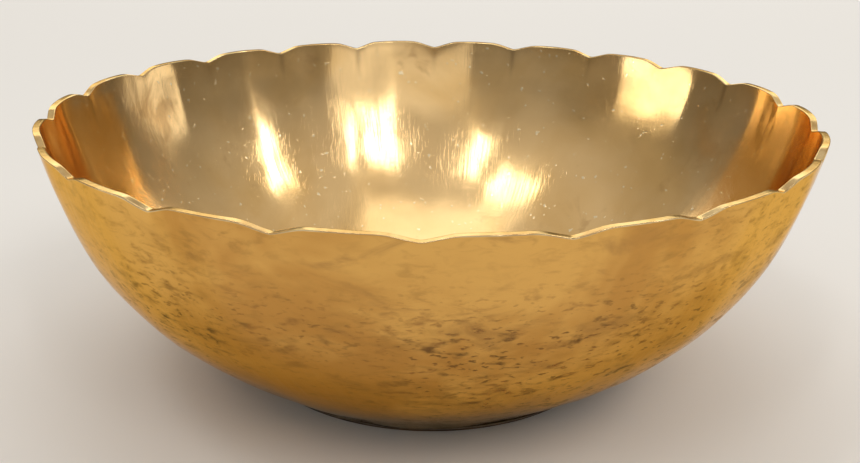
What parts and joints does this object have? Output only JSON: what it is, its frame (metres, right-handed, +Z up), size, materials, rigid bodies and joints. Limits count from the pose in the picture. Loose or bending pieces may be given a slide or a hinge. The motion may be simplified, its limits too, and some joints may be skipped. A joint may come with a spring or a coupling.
{
  "type": "urli bowl",
  "caption": "Wide round cast brass bowl with a scalloped, fluted rim on a low foot ring, for holding water, flowers or floating lamps.",
  "frame": {"origin": "middle of the plane that the foot ring rests on", "axes": "+Z up along the bowl's axis; a cusp of the rim faces -Y and the crest of a lobe faces +X"},
  "size_m": [0.5, 0.4974, 0.1762],
  "materials": {
    "bowl_brass": "polished by hand, bright inside, warm and spotted with brown tarnish outside",
    "foot_brass": "turned and darkened with age",
    "braze": "as brazed, dull and uneven"
  },
  "bodies": {
    "root": {"bowl_shell": "bowl_brass", "foot_ring": "foot_brass", "brazed_joint": "braze"}
  },
  "joints": []
}
